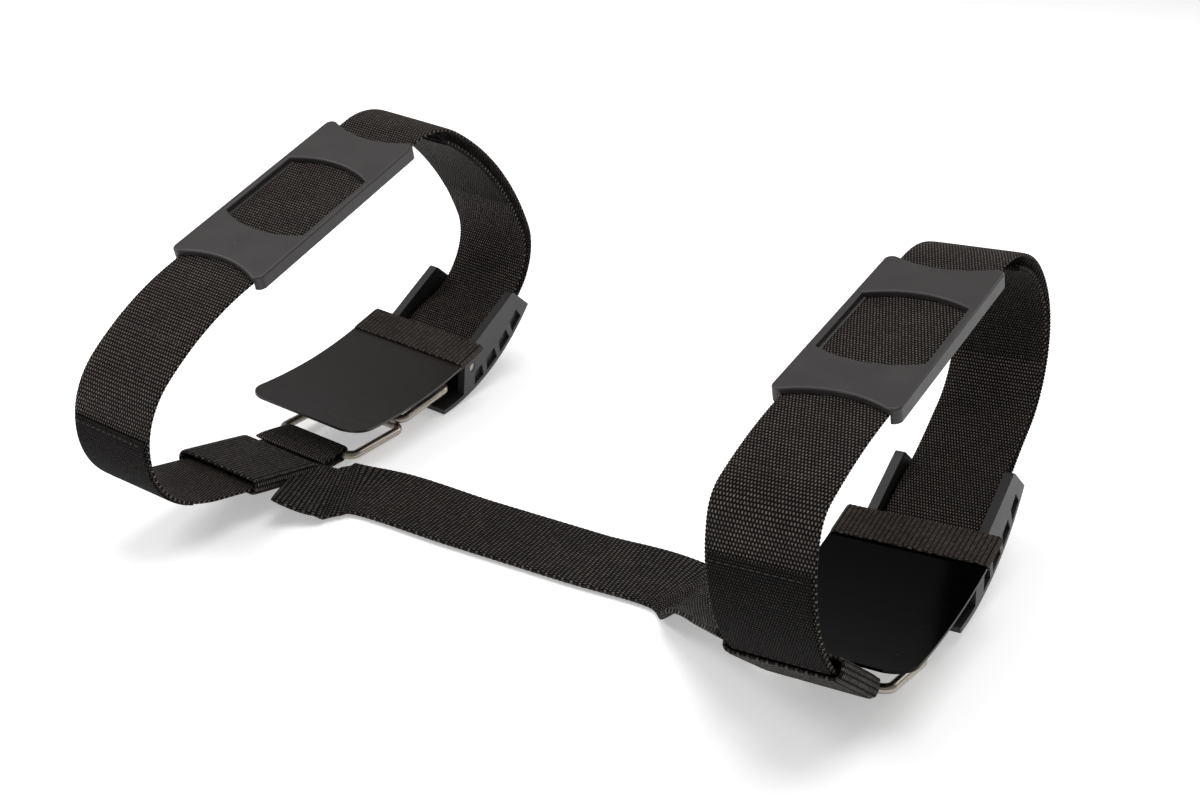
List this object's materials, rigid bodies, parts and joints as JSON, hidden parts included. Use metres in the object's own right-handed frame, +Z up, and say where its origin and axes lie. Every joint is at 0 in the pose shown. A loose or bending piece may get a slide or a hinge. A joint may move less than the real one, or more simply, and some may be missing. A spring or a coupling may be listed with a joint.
{
  "type": "quick-release webbing band pair",
  "caption": "Pair of quick-release webbing bands with sliding pads and ring buckles, joined by a sewn webbing link strap.",
  "frame": {"origin": "on the floor plane, at the middle of the flat part of the link strap's underside", "axes": "+X along both bands' axes and along the link strap, from the left band to the right one, +Y from the loops' front to the buckles' crest side, +Z up"},
  "size_m": [0.432, 0.3315, 0.1836],
  "materials": {
    "band_webbing": "woven polyester webbing, near black",
    "loop_pile": "woven loop pile tape, near black",
    "hook_tape": "woven hook tape, near black",
    "stitching": "bonded polyester thread, dark brown",
    "link_webbing": "ribbed polyester webbing, near black",
    "keeper_webbing": "ribbed narrow webbing, near black",
    "pad_nylon": "moulded nylon, fine matte texture",
    "frame_nylon": "moulded glass-filled nylon, matte",
    "bar_steel": "plated steel pin",
    "ring_steel": "bent and welded steel wire, satin nickel plate",
    "guard_satin": "thermoplastic sheet, satin",
    "guard_gloss": "thermoplastic sheet, glossy"
  },
  "bodies": {
    "webbing": {"band_strap_left": "band_webbing", "loop_patch_left": "loop_pile", "hook_patch_left": "hook_tape", "fold_seam_left": "stitching", "link_loop_left": "link_webbing", "link_seam_left": "stitching", "band_strap_right": "band_webbing", "loop_patch_right": "loop_pile", "hook_patch_right": "hook_tape", "fold_seam_right": "stitching", "link_loop_right": "link_webbing", "link_seam_right": "stitching", "link_strap": "link_webbing"},
    "pad_left": {"slider_pad_left": "pad_nylon"},
    "frame_left": {"buckle_frame_left": "frame_nylon", "wrap_bar_left": "bar_steel", "keeper_left": "keeper_webbing"},
    "bail_left": {"bail_ring_left": "ring_steel"},
    "catch_left": {"catch_ring_left": "ring_steel"},
    "guard_left": {"ring_guard_left": "guard_satin"},
    "pad_right": {"slider_pad_right": "pad_nylon"},
    "frame_right": {"buckle_frame_right": "frame_nylon", "wrap_bar_right": "bar_steel", "keeper_right": "keeper_webbing"},
    "bail_right": {"bail_ring_right": "ring_steel"},
    "catch_right": {"catch_ring_right": "ring_steel"},
    "guard_right": {"ring_guard_right": "guard_gloss"}
  },
  "joints": [
    {"name": "pad_slide_left", "type": "slide", "parent": "webbing", "child": "pad_left", "axis": [0.0128, 0.9558, 0.2938], "range_m": [-0.012, 0.012]},
    {"name": "frame_tilt_left", "type": "hinge", "parent": "webbing", "child": "frame_left", "pos_m": [-0.16899, 0.10972, 0.02311], "axis": [0.999, 0, -0.0436], "range_deg": [-5, 0]},
    {"name": "bail_swing_left", "type": "hinge", "parent": "frame_left", "child": "bail_left", "pos_m": [-0.16937, 0.09253, 0.01448], "axis": [0.999, 0, -0.0436], "range_deg": [-10, 0]},
    {"name": "catch_swing_left", "type": "hinge", "parent": "webbing", "child": "catch_left", "pos_m": [-0.16972, 0.00041, 0.00631], "axis": [0.999, 0, -0.0436], "range_deg": [-20, 0]},
    {"name": "guard_slide_left", "type": "slide", "parent": "frame_left", "child": "guard_left", "axis": [-0.0098, -0.9744, -0.2247], "range_m": [-0.008, 0]},
    {"name": "pad_slide_right", "type": "slide", "parent": "webbing", "child": "pad_right", "axis": [-0.016, 0.9882, 0.1521], "range_m": [-0.012, 0.012]},
    {"name": "frame_tilt_right", "type": "hinge", "parent": "webbing", "child": "frame_right", "pos_m": [0.17717, 0.05753, 0.02692], "axis": [0.9945, 0, 0.1045], "range_deg": [-5, 0]},
    {"name": "bail_swing_right", "type": "hinge", "parent": "frame_right", "child": "bail_right", "pos_m": [0.17822, 0.04084, 0.01692], "axis": [0.9945, 0, 0.1045], "range_deg": [-10, 0]},
    {"name": "catch_swing_right", "type": "hinge", "parent": "webbing", "child": "catch_right", "pos_m": [0.17844, -0.04699, 0.01484], "axis": [0.9945, 0, 0.1045], "range_deg": [-20, 0]},
    {"name": "guard_slide_right", "type": "slide", "parent": "frame_right", "child": "guard_right", "axis": [0.0242, -0.9728, -0.2305], "range_m": [-0.008, 0]}
  ]
}
